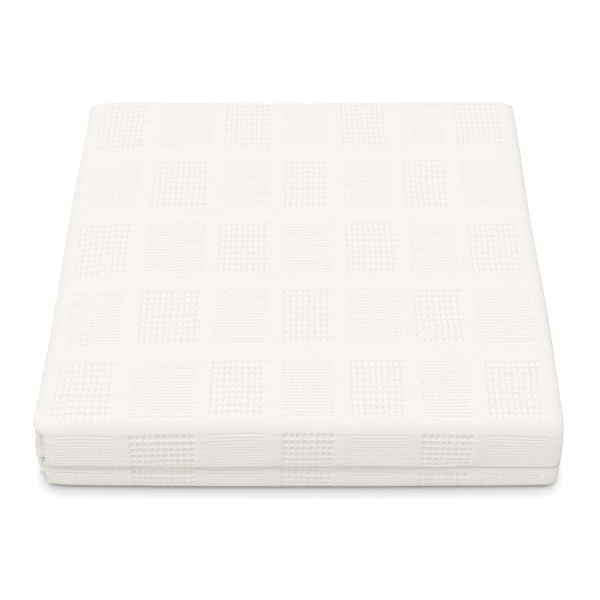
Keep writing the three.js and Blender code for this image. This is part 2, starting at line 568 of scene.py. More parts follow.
@dataclass
class Lines:
    """Mesh lines in one direction of the cloth.

    place is where each lies, and zone is the part of the cloth that begins with it. density is the
    sparsest mesh that uses it. cell counts the waffle cells from the edge of a woven block, and block
    numbers the blocks. woven is how deep the cells are, and 0 in plain weave.
    """

    place: list[float] = field(default_factory=list)
    zone: list[int] = field(default_factory=list)
    density: list[int] = field(default_factory=list)
    cell: list[float] = field(default_factory=list)
    block: list[int] = field(default_factory=list)
    woven: list[float] = field(default_factory=list)

    def __len__(self) -> int:
        """How many lines there are."""
        return len(self.place)

    def add(
        self, place: float, zone: int, density: int, cell: float = 0, block: int = 0, woven: float = 0
    ) -> None:
        """Adds one line.

        Args:
            place: Where it lies.
            zone: The part of the cloth that it is in.
            density: The sparsest mesh that uses it.
            cell: Waffle cells from the block's edge to it.
            block: The block's number.
            woven: How deep the cells are.
        """
        self.place.append(place)
        self.zone.append(zone)
        self.density.append(density)
        self.cell.append(cell)
        self.block.append(block)
        self.woven.append(woven)

    def add_gap(self, low: float, high: float, step: float, zone: int, halved: bool) -> None:
        """Adds the lines of a plain gap, which may run either way, without its two edges.

        Args:
            low: Where the gap begins.
            high: Where it ends.
            step: The widest spacing.
            zone: The zone that it is in.
            halved: Whether sparse meshes leave out every second line.
        """
        count = max(math.ceil(abs(high - low) / step), 1)
        for number in range(1, count):
            left_out = halved and count > 2 and number % 2
            density = Density.HALF_CELL if left_out else Density.HIDDEN
            self.add(lerp(low, high, number / count), zone, density)

    def add_block(
        self,
        low: float,
        high: float,
        cells: int,
        block: int,
        zone: int,
        edge: Density,
        depth: float = 1.0,
    ) -> None:
        """Adds the lines of a woven block, with its two edges.

        Args:
            low: Where the block begins.
            high: Where it ends.
            cells: Waffle cells in that direction.
            block: The block's number.
            zone: The zone that it is in.
            edge: Density of the lines between two cells.
            depth: How deep its cells are.
        """
        by_line = (edge, Density.FINE, Density.HALF_CELL, Density.FINE)
        for number in range(cells * LINES_PER_CELL + 1):
            share = number / (cells * LINES_PER_CELL)
            density = by_line[number % LINES_PER_CELL]
            self.add(lerp(low, high, share), zone, density, number / LINES_PER_CELL, block, depth)

    def pick(self, zone: int, density: Density) -> np.ndarray:
        """The lines of a zone that a density uses, up to the next zone's first line.

        Args:
            zone: The zone.
            density: How close the lines lie.

        Returns:
            Numbers of lines, in order.
        """
        zones, densities = np.array(self.zone), np.array(self.density)
        inside = np.flatnonzero(zones == zone)
        last = min(inside[-1] + 1, len(zones) - 1)
        chosen = inside[densities[inside] <= density]
        return np.unique(np.append(chosen, last))


@dataclass(frozen=True)
class BlockColumn:
    """A column of woven blocks, placed across the top of the pad."""

    start: float
    end: float
    cells: int


@dataclass(frozen=True)
class BlockRow:
    """A row of woven blocks.

    start is measured along the cloth from a named place on the strip's route. lead is the widest
    spacing of mesh lines in the plain weave before it, and turning says that it goes round a turn.
    depth is how deep its cells are, where 1 is as deep as on the flat top.
    """

    anchor: str
    start: float
    cells: int
    pitch: float
    number: int
    lead: float = 10.0
    turning: bool = False
    depth: float = 1.0


@dataclass(frozen=True)
class Stretch:
    """A stretch of the cloth along the route, with its rows of blocks.

    It ends some way beyond a named place. trail is the widest spacing of mesh lines in the plain weave
    after its last row.
    """

    name: str
    anchor: str
    end: float
    trail: float
    rows: tuple[BlockRow, ...] = ()


def even_rows(anchor: str, count: int, first_number: int) -> tuple[BlockRow, ...]:
    """Evenly spaced rows of blocks along a pass that shows only at its side folds.

    Args:
        anchor: The middle of the pass.
        count: How many rows.
        first_number: The first row's number.

    Returns:
        The rows, in order.
    """
    pitch, cells, spacing = 6.4, 9, 76.0
    first = -(count - 1) / 2 * spacing - cells * pitch / 2
    return tuple(
        BlockRow(anchor, first + number * spacing, cells, pitch, first_number + number)
        for number in range(count)
    )


@dataclass(frozen=True)
class WeaveChart:
    """Where the cloth has blocks of waffle and of dotted weave, as listed. Millimetres."""

    columns: tuple[BlockColumn, ...] = (
        BlockColumn(-179.0, -135.5, 9),
        BlockColumn(-123.4, -76.2, 10),
        BlockColumn(-65.3, -24.7, 9),
        BlockColumn(-12.9, 24.7, 8),
        BlockColumn(36.6, 77.1, 9),
        BlockColumn(88.0, 125.6, 8),
        BlockColumn(136.5, 178.0, 9),
    )
    stretches: tuple[Stretch, ...] = (
        Stretch("tucked end", "inner front", end=-36, trail=30, rows=even_rows("tucked end", 4, 21)),
        Stretch("inner front", "inner front", end=36, trail=3),
        Stretch("second pass", "upper back", end=-52, trail=30, rows=even_rows("second pass", 4, 11)),
        Stretch(
            "face",
            "upper front",
            end=47,
            trail=3,
            rows=(
                BlockRow("upper back", -13.2, 4, 6.6, 6, lead=5, turning=True),
                BlockRow("top", -182.1, 9, 6.8, 5, lead=3),
                BlockRow("top", -101.7, 9, 6.71, 4),
                BlockRow("top", -22.8, 9, 6.61, 3),
                BlockRow("top", 54.1, 9, 6.4, 2),
                BlockRow("top", 128.7, 9, 5.98, 1),
                BlockRow("upper front", -16.6, 6, 6.3, 0, lead=2.2, turning=True, depth=1.4),
            ),
        ),
        Stretch("fourth pass", "lower back", end=-46, trail=30, rows=even_rows("fourth pass", 4, 31)),
        Stretch(
            "lower back",
            "lower back",
            end=46,
            trail=4,
            rows=(BlockRow("lower back", -13, 4, 6.5, 8, lead=4, turning=True),),
        ),
        Stretch("fifth pass", "lower front", end=-32, trail=30, rows=even_rows("fifth pass", 4, 41)),
        Stretch(
            "lower front",
            "lower front",
            end=32,
            trail=3,
            rows=(BlockRow("lower front", -11.8, 4, 5.7, 10, lead=3, turning=True, depth=1.2),),
        ),
        Stretch("bottom", "end", end=0, trail=30, rows=even_rows("bottom", 4, 51)),
    )
    hem_places: tuple[float, ...] = (-185.5, -182.0, -177.0, -120.0, 0.0, 120.0)  # lines of a hem layer
    fold_lines: int = 6  # mesh lines round a left fold
    right_block: BlockColumn = BlockColumn(0.3, 0.9, 3)  # as shares of the way round the right fold
    edge_step: float = 5.0  # widest spacing of mesh lines beside the folds
    gap_step: float = 6.5  # the same between two columns of blocks

    @property
    def right_number(self) -> int:
        """The number of the right fold's column, after those of the outer face."""
        return len(self.columns) + 1

    def across(self, strip: FoldedStrip) -> Lines:
        """The mesh lines across the cloth, from one side hem to the other.

        Args:
            strip: The folded strip.

        Returns:
            The lines. A place is across the strip, or on a fold its share of the way round.
        """
        lines = Lines()
        hem = strip.half_width - strip.hem_inset
        for place in (hem, *reversed(self.hem_places)):
            lines.add(place, Zone.OUTER_HEM, Density.HIDDEN)
        self.add_left_fold(lines, Zone.OUTER_LEFT_FOLD)
        lines.add(strip.left_centre, Zone.OUTER_FACE, Density.HIDDEN)
        self.add_face(lines, strip, Zone.OUTER_FACE)
        lines.add(0.0, Zone.RIGHT_FOLD, Density.HIDDEN)
        block = self.right_block
        lines.add_block(
            block.start, block.end, block.cells, self.right_number, Zone.RIGHT_FOLD, Density.CELL
        )
        lines.add(strip.right_centre, Zone.INNER_FACE, Density.HIDDEN)
        self.add_face(lines, strip, Zone.INNER_FACE)
        self.add_left_fold(lines, Zone.INNER_LEFT_FOLD)
        for place in (strip.left_centre, *self.hem_places, hem):
            lines.add(place, Zone.INNER_HEM, Density.HIDDEN)
        return lines

    def add_left_fold(self, lines: Lines, zone: Zone) -> None:
        """Adds the lines of a left fold, without its end.

        Args:
            lines: Lines that are added to.
            zone: The fold.
        """
        for number in range(self.fold_lines):
            density = Density.CELL if number % 2 else Density.HIDDEN
            lines.add(number / self.fold_lines, zone, density)

    def add_face(self, lines: Lines, strip: FoldedStrip, zone: Zone) -> None:
        """Adds the lines of a face layer between its two folds, with its columns of blocks.

        Args:
            lines: Lines that are added to.
            strip: The folded strip.
            zone: The outer face, which runs to the right, or the inner one, which runs back.
        """
        runs_right = zone == Zone.OUTER_FACE
        place = strip.left_centre if runs_right else strip.right_centre
        last = strip.right_centre if runs_right else strip.left_centre
        first_number = 1 if runs_right else self.right_number + 1
        step = self.edge_step
        columns = self.columns if runs_right else reversed(self.columns)
        for number, column in enumerate(columns, first_number):
            low, high = (column.start, column.end) if runs_right else (column.end, column.start)
            lines.add_gap(place, low, step, zone, halved=False)
            lines.add_block(low, high, column.cells, number, zone, Density.CELL)
            place, step = high, self.gap_step
        lines.add_gap(place, last, self.edge_step, zone, halved=False)

    def along(self, route: Route) -> Lines:
        """The mesh lines along the cloth, from its tucked end to its other end.

        Args:
            route: The strip's route.

        Returns:
            The lines. A place is a length along the route, and a zone is a stretch's number.
        """
        lines = Lines()
        place = 0.0
        for zone, stretch in enumerate(self.stretches):
            end = route.anchors[stretch.anchor] + stretch.end
            lines.add(place, zone, Density.HIDDEN)
            for row in stretch.rows:
                low = route.anchors[row.anchor] + row.start
                high = low + row.cells * row.pitch
                edge = Density.HIDDEN if row.turning else Density.CELL
                lines.add_gap(place, low, row.lead, zone, halved=True)
                lines.add_block(low, high, row.cells, row.number, zone, edge, row.depth)
                place = high
            lines.add_gap(place, end, stretch.trail, zone, halved=True)
            place = end
        lines.add(place, len(self.stretches), Density.HIDDEN)
        return lines


@dataclass(frozen=True)
class Section:
    """The strip's section at each line across the cloth: the middle of the cloth and its normal."""

    across: np.ndarray
    height: np.ndarray
    normal_across: np.ndarray
    normal_height: np.ndarray

    @classmethod
    def of(cls, strip: FoldedStrip, lines: Lines) -> "Section":
        """The section of a strip at lines across it.

        Args:
            strip: The folded strip.
            lines: Lines from WeaveChart.across.

        Returns:
            The section.
        """
        layer = {Zone.OUTER_HEM: 2, Zone.OUTER_FACE: 3, Zone.INNER_FACE: 0, Zone.INNER_HEM: 1}
        heading = {Zone.OUTER_HEM: -1, Zone.OUTER_FACE: 1, Zone.INNER_FACE: -1, Zone.INNER_HEM: 1}
        rows = []
        for place, zone in zip(lines.place, lines.zone):
            zone = Zone(zone)
            if zone in layer:
                rows.append((place, (layer[zone] + 0.5) * strip.pitch, 0.0, float(heading[zone])))
            else:
                rows.append(cls.fold_point(strip, zone, place))
        return cls(*np.array(rows).T)

    @staticmethod
    def fold_point(strip: FoldedStrip, zone: Zone, share: float) -> tuple[float, float, float, float]:
        """A point of a side fold.

        Args:
            strip: The folded strip.
            zone: Which fold.
            share: How far round the fold's outside, from 0 to 1.

        Returns:
            The point's place across, its height, and the two parts of its normal.
        """
        on_right = zone == Zone.RIGHT_FOLD
        squareness = strip.right_squareness if on_right else strip.left_squareness
        radius = strip.right_radius if on_right else strip.pitch / 2
        first = math.pi / 2 if on_right else -math.pi / 2
        angle = first - math.pi * np.linspace(0, 1, strip.fold_samples + 1)
        out, rise = rounded_point(angle, squareness)
        slope = [np.sign(part) * np.abs(part) ** (squareness - 1) for part in (out, rise)]
        size = np.hypot(*slope)
        normal = [part / size for part in slope]
        reach = strip.thickness / 2
        steps = [np.diff(radius * part + reach * lean) for part, lean in zip((out, rise), normal)]
        travelled = np.concatenate([[0], np.cumsum(np.hypot(*steps))])
        at = share * travelled[-1]
        out, rise, *normal = (np.interp(at, travelled, part) for part in (out, rise, *normal))
        centre = strip.right_centre if on_right else strip.left_centre
        middle = {
            Zone.RIGHT_FOLD: strip.strip_thickness / 2,
            Zone.OUTER_LEFT_FOLD: 3 * strip.pitch,
            Zone.INNER_LEFT_FOLD: strip.pitch,
        }
        return centre + radius * out, middle[zone] + radius * rise, *normal


@dataclass(frozen=True)
class SoftMark:
    """A soft trough, ridge or bulge of the lying cloth. Millimetres.

    It runs from start to end, fades over reach to all sides, and moves the cloth by shift at its middle.
    squeeze is the share by which it presses layers together, from above and below.
    """

    start: tuple[float, float, float]
    end: tuple[float, float, float]
    reach: float
    shift: tuple[float, float, float] = (0.0, 0.0, 0.0)
    squeeze: float = 0.0

    def moved(self, points: np.ndarray) -> np.ndarray:
        """Presses this mark into points.

        Args:
            points: One point a row.

        Returns:
            The moved points.
        """
        start, run = np.array(self.start), np.array(self.end) - np.array(self.start)
        along = np.clip((points - start) @ run / (run @ run), 0, 1)
        from_mark = points - start - along[:, None] * run
        away = np.linalg.norm(from_mark, axis=1)
        upright = np.array((0, 0, 1))
        pressed = -self.squeeze * from_mark * upright
        return points + np.exp(-((away / self.reach) ** 2))[:, None] * (np.array(self.shift) + pressed)


@dataclass(frozen=True)
class Drift:
    """A slow wander of the threads in the plane of the cloth, in millimetres."""

    height: float
    across_length: float
    along_length: float
    phase: float

    def at(self, across: np.ndarray, length: np.ndarray) -> np.ndarray:
        """How far threads wander at these places."""
        turns = across / self.across_length + length / self.along_length
        return self.height * np.sin(2 * math.pi * turns + self.phase)


class Value:
    """A socket of a node tree, on which Python's operators add Math nodes."""

    def __init__(self, graph: "NodeGraph", socket: bpy.types.NodeSocket) -> None:
        """Keeps a socket and the graph that it belongs to."""
        self.graph = graph
        self.socket = socket

    def math(self, operation: str, *others: Any) -> "Value":
        """The result of a Math node on this value and others."""
        return self.graph.add("ShaderNodeMath", {"operation": operation}, dict(enumerate((self, *others))))

    def __add__(self, other: Any) -> "Value":
        """This value plus another."""
        return self.math("ADD", other)

    def __radd__(self, other: float) -> "Value":
        """A number plus this value."""
        return self.math("ADD", other)

    def __sub__(self, other: Any) -> "Value":
        """This value less another."""
        return self.math("SUBTRACT", other)

    def __rsub__(self, other: float) -> "Value":
        """A number less this value."""
        return self.graph.add("ShaderNodeMath", {"operation": "SUBTRACT"}, {0: other, 1: self})

    def __mul__(self, other: Any) -> "Value":
        """This value times another."""
        return self.math("MULTIPLY", other)

    def __rmul__(self, other: float) -> "Value":
        """A number times this value."""
        return self.math("MULTIPLY", other)

    def __abs__(self) -> "Value":
        """The size of this value."""
        return self.math("ABSOLUTE")

    def __pow__(self, power: float) -> "Value":
        """This value raised to a power."""
        return self.math("POWER", power)


class NodeGraph:
    """A node tree that is filled by one method."""

    def __init__(self, tree: bpy.types.NodeTree) -> None:
        """Keeps the tree, emptied."""
        self.tree = tree
        tree.nodes.clear()

    def node(self, kind: str, settings: dict[str, Any], inputs: dict[str | int, Any]) -> bpy.types.Node:
        """Adds a node.

        Args:
            kind: The node's type.
            settings: Its own settings, which are set first.
            inputs: Values or links for its sockets, by name or number.

        Returns:
            The node.
        """
        node = self.tree.nodes.new(kind)
        for name, setting in settings.items():
            setattr(node, name, setting)
        for key, given in inputs.items():
            socket = node.inputs[key]
            if isinstance(given, Value):
                self.tree.links.new(given.socket, socket)
            else:
                socket.default_value = given
        return node

    def add(
        self,
        kind: str,
        settings: dict[str, Any],
        inputs: dict[str | int, Any],
        output: str | int = 0,
    ) -> Value:
        """Adds a node and gives one of its outputs.

        Args:
            kind: The node's type.
            settings: Its own settings.
            inputs: Values or links for its sockets.
            output: The output's name or number.

        Returns:
            That output.
        """
        return Value(self, self.node(kind, settings, inputs).outputs[output])

    @classmethod
    def of_material(cls, name: str) -> tuple[bpy.types.Material, "NodeGraph"]:
        """Makes a material.

        Args:
            name: The material's name.

        Returns:
            The material and its empty graph.
        """
        material = bpy.data.materials.new(name)
        material.use_nodes = True
        return material, cls(material.node_tree)

    def show(self, shader: bpy.types.Node) -> None:
        """Makes a shader the surface of the graph's material."""
        output = self.node("ShaderNodeOutputMaterial", {}, {})
        self.tree.links.new(shader.outputs[0], output.inputs["Surface"])


@dataclass(frozen=True)
class CellMark:
    """A mark in a cell of the weave, between two shares of the cell across it and two along it."""

    across: tuple[float, float]
    along: tuple[float, float]


class WeaveForm:
    """The form of one cell of each weave, and where its painted shade and painted highlights lie. Shares
    are of a cell, from its left and from its far side.
    """

    side_walls = (0.20, 0.62, 0.86)  # where a waffle pit's floor begins and ends, and where the pit ends
    end_walls = (0.22, 0.52, 0.90)  # the same from the far side to the near one
    soft_share = 0.14  # share over which a mark fades
    flat_shade_tick = CellMark(across=(0.0, 0.27), along=(0.0, 0.68))  # painted shade, at the left of a flat waffle cell, where its pit's wall turns from the light
    flat_shade_dash = CellMark(across=(0.36, 0.88), along=(0.0, 0.25))  # painted shade, on its far side, where its pit's far wall turns from the light
    flat_highlight_tile = CellMark(across=(0.04, 0.94), along=(0.16, 0.99))  # painted highlight, over most of it
    upright_shade_dash = CellMark(across=(0.02, 0.86), along=(0.0, 0.34))  # painted shade, under an upright cell's rib
    upright_shade_floor = CellMark(across=(0.04, 0.60), along=(0.0, 0.62))  # painted shade, down to the cell's floor
    floor_shade_share = 0.6  # how dark that painted shade on the floor is beside the dash
    lower_rib_highlight = (0.56, 1.0)  # along an upright cell, where the painted highlight on the rib under it lies
    right_rib_highlight = (0.74, 1.0)  # across it, where the painted highlight on the rib at its right lies
    dots_per_cell = 2  # small pits of a dotted block to a waffle cell, each way
    dot_shade_mark = CellMark(across=(0.04, 0.60), along=(0.0, 0.52))  # painted shade in a small pit, shares of a dot's own cell
    dot_weft_highlight = (0.46, 1.0)  # along a dot's own cell, where the painted highlight on the weft lies
    dash_share = 0.02  # how deep, and how darkly shaded, the line between two dots of a row is

    @classmethod
    def pit(cls, across: Value, along: Value) -> Value:
        """A waffle cell's pit, from 0 on its rim to 1 on its floor."""
        return cls.trough(across, *cls.side_walls).math("MINIMUM", cls.trough(along, *cls.end_walls))

    @staticmethod
    def trough(place: Value, floor: float, rise: float, end: float) -> Value:
        """A trough in one direction.

        Args:
            place: Place in cells.
            floor: Share of a cell at which its floor begins.
            rise: Share at which its floor ends.
            end: Share at which it ends.

        Returns:
            0 on its rim to 1 on its floor.
        """
        share = place.math("FRACT")
        falling, rising = share * (1 / floor), (end - share) * (1 / (end - rise))
        return falling.math("MINIMUM", rising).math("MINIMUM", 1.0).math("MAXIMUM", 0.0)

    @classmethod
    def dot(cls, across: Value, along: Value) -> Value:
        """A dotted block's small pits, in rows.

        Args:
            across: Place in waffle cells across the cloth.
            along: Place in waffle cells along the cloth.

        Returns:
            0 between rows to 1 in the middle of a dot.
        """
        row = 1 - abs((along * cls.dots_per_cell).math("FRACT") * 2 - 1)
        dot = 1 - abs((across * cls.dots_per_cell).math("FRACT") * 2 - 1)
        return row * (dot * (1 - cls.dash_share) + cls.dash_share)

    @classmethod
    def top_painted_shade(cls, across: Value, along: Value) -> Value:
        """The painted shade of a waffle cell that lies flat: a tick and a dash on its pit's shaded walls.
        """
        tick, dash = (cls.mark(across, along, mark) for mark in (cls.flat_shade_tick, cls.flat_shade_dash))
        return tick.math("MAXIMUM", dash)

    @classmethod
    def front_painted_shade(cls, across: Value, along: Value) -> Value:
        """The painted shade in the pit of a waffle cell that stands upright: wide under its rib, then
        narrower.
        """
        dash, floor = (cls.mark(across, along, mark) for mark in (cls.upright_shade_dash, cls.upright_shade_floor))
        return dash.math("MAXIMUM", floor * cls.floor_shade_share)

    @classmethod
    def front_rib_highlights(cls, across: Value, along: Value) -> Value:
        """The painted highlights on the ribs of a waffle cell that stands upright: under it and at its
        right.
        """
        return cls.band(along, *cls.lower_rib_highlight).math("MAXIMUM", cls.band(across, *cls.right_rib_highlight))

    @classmethod
    def painted_dot_shade(cls, across: Value, along: Value) -> Value:
        """The painted shade in the small pits of a dotted block.

        Args:
            across: Place in waffle cells across the cloth.
            along: Place in waffle cells along the cloth.

        Returns:
            1 in the small pits, less between the dots of a row, and 0 between rows.
        """
        dots = cls.band(across * cls.dots_per_cell, *cls.dot_shade_mark.across)
        row = cls.band(along * cls.dots_per_cell, *cls.dot_shade_mark.along)
        return row * (dots * (1 - cls.dash_share) + cls.dash_share)

    @classmethod
    def mark(cls, across: Value, along: Value, mark: CellMark) -> Value:
        """1 inside a mark of each waffle cell, fading to 0 at its edges."""
        return cls.band(along, *mark.along) * cls.band(across, *mark.across)

    @classmethod
    def band(cls, place: Value, low: float, high: float) -> Value:
        """A band in one direction.

        Args:
            place: Place in cells.
            low: Share of a cell at which it begins, at full strength if that is 0.
            high: Share at which it ends.

        Returns:
            1 between the two shares, fading to 0 inside them.
        """
        share = place.math("FRACT")
        fading = (high - share) * (1 / cls.soft_share)
        if low > 0:
            fading = fading.math("MINIMUM", (share - low) * (1 / cls.soft_share))
        return fading.math("MAXIMUM", 0.0).math("MINIMUM", 1.0)


@dataclass(frozen=True)
class CottonFinish:
    """Undyed white cotton: matt, slightly warm, with fine threads that show close to.

    The relief is in metres, and sizes and pitches are in millimetres. A shade is a share of the way
    from the light colour to the dark one: the plain weave's tone, the painted shade in the pits and
    the painted highlights on ribs and wefts, which lift that tone, are all given as shades.
    """

    name: str = "white_cotton"
    # the lightest thread tops, and the colour of the painted highlights
    light: tuple[float, float, float, float] = (0.959, 0.943, 0.921, 1.0)
    # the dark colour towards which the plain weave's tone and the painted shade in the pits go
    recessed: tuple[float, float, float, float] = (0.78, 0.742, 0.695, 1.0)
    roughness: float = 0.9
    specular: float = 0.2
    relief: float = 0.0004  # depth of the bump
    plain_shade: float = 0.45  # of plain weave
    painted_pit_shade: float = 0.24  # painted shade added in a flat waffle cell's dark marks
    painted_dot_shade: float = 0.38  # painted shade added in the small pits of a flat dotted block
    dot_share: float = 0.6  # how deep a small pit is beside a waffle pit, in the bump
    flat_painted_highlight: float = 0.36  # how far the painted highlights of a flat block lift the plain weave's tone
    upright_depth: float = 0.25  # extra depth of cells at which a row counts as upright
    upright_painted_pit_shade: float = 1.5  # extra painted shade of the waffle marks on an upright row, which takes its light from above
    upright_painted_dot_shade: float = 2.9  # the same of the painted shade in the small pits
    upright_ribs: float = 2.0  # the same of the weft ribs' height
    block_share: float = 0.999  # a place is in a block where the block's attribute is above this
    pit_chance: float = 0.5  # whole range of the waffle marks' painted shade from cell to cell
    dot_chance: float = 1.2  # the same of the small pits
    patch_size: float = 47.0  # cells in squares of this size draw their own chances
    patch_stride: float = 37.0  # cells from one such square's chances to the next one's
    thread_pitch: float = 0.78
    thread_share: float = 0.10  # height of single threads, as a share of the relief
    rib_share: float = 0.25  # the same of uneven ribs along the weft
    rib_scale: tuple[float, float, float] = (0.02, 0.55, 1.0)  # noise to a millimetre
    slub_share: float = 0.5  # the same of slubs
    slub_scale: tuple[float, float, float] = (0.6, 0.6, 1.0)
    noise_detail: float = 2.0
    weft_rib_share: float = 0.15  # height of even ribs in the plain weave beside the blocks
    weave_unevenness: float = 2.5  # how much the threads' height strengthens the shade
    thread_tone: float = 2.5  # how much it lightens the cloth

    def material(self) -> bpy.types.Material:
        """The cotton as a material on the cloth's own threads.

        Returns:
            The material.
        """
        material, graph = NodeGraph.of_material(self.name)
        place = graph.add("ShaderNodeAttribute", {"attribute_name": "cloth_place"}, {}, "Vector")
        depth, shade = self.weave(graph, place)
        threads = self.threads(graph, place)
        height = threads - depth
        # the tone, the painted shade and the painted highlights, made uneven by the threads, mix the two
        # colours
        shade = shade * (1 + threads * self.weave_unevenness) - threads * self.thread_tone
        colour = graph.add(
            "ShaderNodeMix", {"data_type": "RGBA"}, {0: shade, 6: self.light, 7: self.recessed}, 2
        )
        bump = graph.add(
            "ShaderNodeBump", {}, {"Strength": 1.0, "Distance": self.relief, "Height": height}
        )
        surface = graph.node(
            "ShaderNodeBsdfPrincipled",
            {},
            {
                "Base Color": colour,
                "Roughness": self.roughness,
                "Normal": bump,
                "Specular IOR Level": self.specular,
            },
        )
        graph.show(surface)
        return material

    def weave(self, graph: NodeGraph, place: Value) -> tuple[Value, Value]:
        """The pits of the two weaves, 0 outside their own blocks, and the tone of the whole cloth with its
        painted shade and painted highlights.

        Args:
            graph: The material's graph.
            place: The place in the flat cloth.

        Returns:
            How deep they are, and how far each place is toned or painted with shade or highlight.
        """
        def named(name: str) -> Value:
            """A named attribute of the cloth."""
            return graph.add("ShaderNodeAttribute", {"attribute_name": name}, {}, "Fac")

        def upright_or(flat: Value, standing: Value) -> Value:
            """One value on flat rows and another on upright ones."""
            return flat + (standing - flat) * upright

        across, along, row_depth = named("cell_across"), named("cell_along"), named("row_depth")
        waffle, dotted, in_row = (
            named(name).math("GREATER_THAN", self.block_share) for name in ("waffle", "dotted", "in_row")
        )
        upright = ((row_depth - 1) * (1 / self.upright_depth)).math("MINIMUM", 1.0).math("MAXIMUM", 0.0)
        ribs = (along * (2 * math.pi)).math("COSINE") * (in_row - waffle - dotted) * self.weft_rib_share
        ribs = ribs * (1 + upright * self.upright_ribs)
        pit, dot = WeaveForm.pit(across, along), WeaveForm.dot(across, along)
        depth = pit * waffle + dot * dotted * self.dot_share
        # painted shade of the waffle pits: flat and upright rows take their light from different sides, so
        # each has its own marks
        pits = upright_or(WeaveForm.top_painted_shade(across, along), WeaveForm.front_painted_shade(across, along))
        pits = pits * (1 + upright * self.upright_painted_pit_shade) * self.painted_pit_shade * waffle
        pits = pits * self.chance(graph, across, along, place, self.pit_chance)
        small_across, small_along = across * WeaveForm.dots_per_cell, along * WeaveForm.dots_per_cell
        # painted shade in the small pits, darker on upright rows
        dots = WeaveForm.painted_dot_shade(across, along) * (1 + upright * self.upright_painted_dot_shade)
        dots = dots * self.painted_dot_shade * dotted
        dots = dots * self.chance(graph, small_across, small_along, place, self.dot_chance)
        # painted highlights on the flat tiles, the upright ribs and the wefts, which lift the plain
        # weave's tone
        highlight_tile = WeaveForm.mark(across, along, WeaveForm.flat_highlight_tile) * self.flat_painted_highlight
        painted_highlights = upright_or(highlight_tile, WeaveForm.front_rib_highlights(across, along)) * waffle
        weft = WeaveForm.band(small_along, *WeaveForm.dot_weft_highlight) * dotted
        painted_highlights = painted_highlights + weft * (self.flat_painted_highlight + upright * (1 - self.flat_painted_highlight))
        return (depth - ribs) * row_depth, pits + dots + (1 - painted_highlights) * self.plain_shade

    def chance(self, graph: NodeGraph, across: Value, along: Value, place: Value, share: float) -> Value:
        """A number about 1 that differs from cell to cell, and from one square of the cloth to the next.

        Args:
            graph: The material's graph.
            across: Place in cells across the cloth.
            along: Place in cells along the cloth.
            place: The place in the flat cloth.
            share: The whole range of the number.

        Returns:
            The number.
        """
        patch = graph.node("ShaderNodeSeparateXYZ", {}, {0: place})
        numbers = {}
        for axis, cells in enumerate((across, along)):
            patch_number = (Value(graph, patch.outputs[axis]) * (1 / self.patch_size)).math("FLOOR")
            numbers[axis] = cells.math("FLOOR") + patch_number * self.patch_stride
        cell = graph.add("ShaderNodeCombineXYZ", {}, numbers)
        settings = {"noise_dimensions": "2D"}
        random = graph.add("ShaderNodeTexWhiteNoise", settings, {"Vector": cell}, "Value")
        return 1 + (random - 0.5) * share

    def threads(self, graph: NodeGraph, place: Value) -> Value:
        """The height of the threads: a plain weave, ribs along the weft, and slubs.

        Args:
            graph: The material's graph.
            place: The place in the flat cloth.

        Returns:
            The height, as a share of the relief.
        """
        def noise(scale: tuple[float, float, float]) -> Value:
            """Noise over the cloth.

            Args:
                scale: How often it changes, to a millimetre, in each direction.

            Returns:
                A height from about -0.5 to 0.5.
            """
            sized = graph.add("ShaderNodeVectorMath", {"operation": "MULTIPLY"}, {0: place, 1: scale})
            inputs = {"Vector": sized, "Scale": 1.0, "Detail": self.noise_detail}
            return graph.add("ShaderNodeTexNoise", {}, inputs, 0) - 0.5

        split = graph.node("ShaderNodeSeparateXYZ", {}, {0: place})
        turn = 2 * math.pi / self.thread_pitch
        warp = (Value(graph, split.outputs[0]) * turn).math("SINE")
        weft = (Value(graph, split.outputs[1]) * turn).math("SINE")
        ribs, slubs = noise(self.rib_scale), noise(self.slub_scale)
        return warp * weft * self.thread_share + ribs * self.rib_share + slubs * self.slub_share


